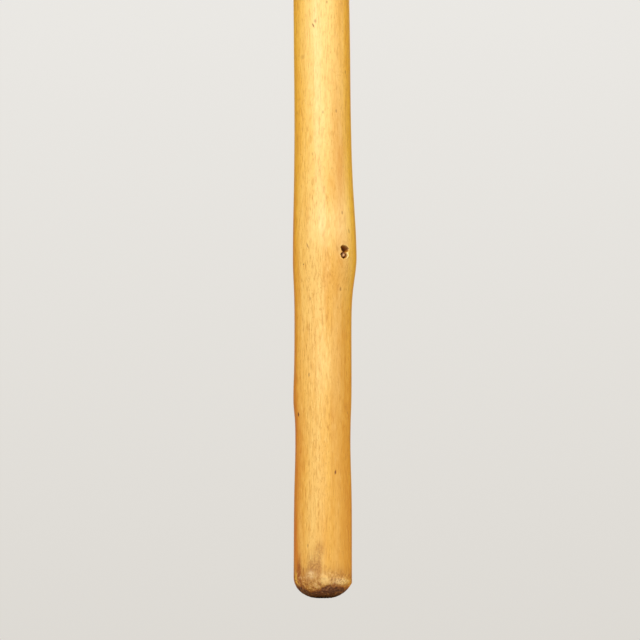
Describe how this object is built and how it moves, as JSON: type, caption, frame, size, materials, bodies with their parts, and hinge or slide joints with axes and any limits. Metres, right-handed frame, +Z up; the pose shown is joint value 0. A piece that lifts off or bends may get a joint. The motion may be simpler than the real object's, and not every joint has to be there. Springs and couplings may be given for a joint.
{
  "type": "single point cane",
  "caption": "Wooden single point cane: knotty peeled branch shaft on a bare worn tip, with a crook handle joined by a collar and a hidden stud.",
  "frame": {"origin": "centre of the tip's worn flat, where the cane stands on the ground", "axes": "+Z up the shaft to the handle; the crook lies in the XZ plane with its nose on the +X side; -Y is the face with the open knot"},
  "size_m": [0.1179, 0.0298, 0.8999],
  "materials": {
    "peeled_wood": "satin varnish over peeled pale wood",
    "dead_wood": "dry, dark end grain",
    "handled_wood": "hand-polished, warmer than the shaft",
    "horn": "polished dark horn",
    "brass": "aged brass with fine scratches",
    "zinc_steel": "zinc plated thread"
  },
  "bodies": {
    "root": {"shaft": "peeled_wood", "knot_stub": "dead_wood", "crook_handle": "handled_wood", "spacer": "horn", "collar": "brass", "collar_pin_front": "brass", "collar_pin_back": "brass", "joining_stud": "zinc_steel"}
  },
  "joints": []
}
